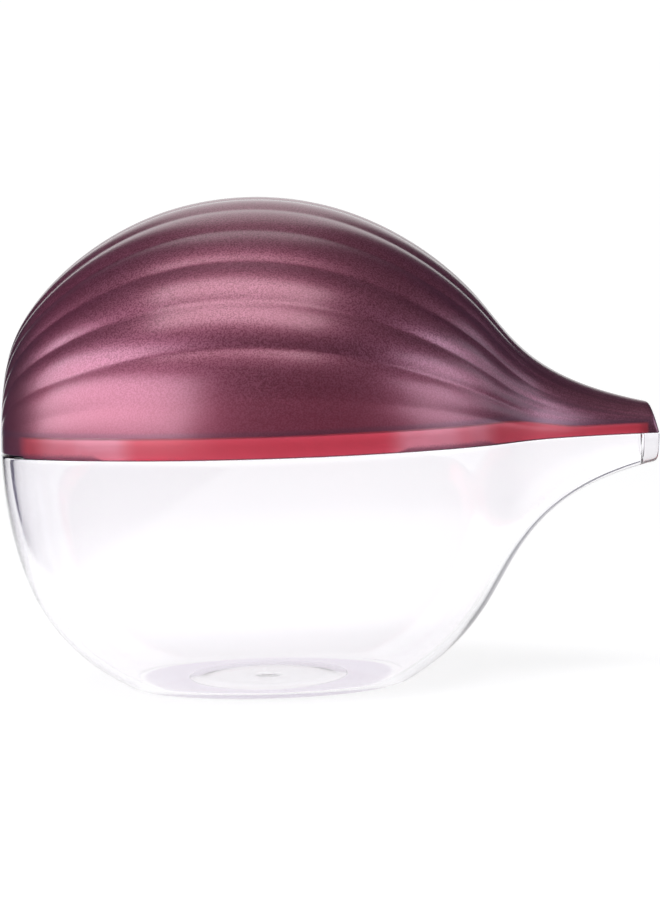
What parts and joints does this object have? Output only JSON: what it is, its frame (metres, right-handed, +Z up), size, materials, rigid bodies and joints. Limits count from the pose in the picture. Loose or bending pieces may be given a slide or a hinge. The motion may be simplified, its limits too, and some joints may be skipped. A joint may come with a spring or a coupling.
{
  "type": "onion keeper",
  "caption": "Onion-shaped food keeper lying on a flat foot: a clear bowl and a ribbed translucent lid that lifts off, both narrowing to a closed stem.",
  "frame": {"origin": "on the ground under the foot, midway along the length and the width", "axes": "+X towards the stem end, +Y across, +Z up; the picture looks along +Y"},
  "size_m": [0.165, 0.1239, 0.1229],
  "materials": {
    "clear_plastic": "clear, polished, with a faint lavender tint",
    "lid_plastic": "translucent maroon with a fine pearl, satin gloss"
  },
  "bodies": {
    "bowl": {"bowl": "clear_plastic"},
    "lid": {"lid": "lid_plastic"}
  },
  "joints": [
    {"name": "lid_lift", "type": "slide", "parent": "bowl", "child": "lid", "axis": [0, 0, 1], "range_m": [0, 0.1]}
  ]
}
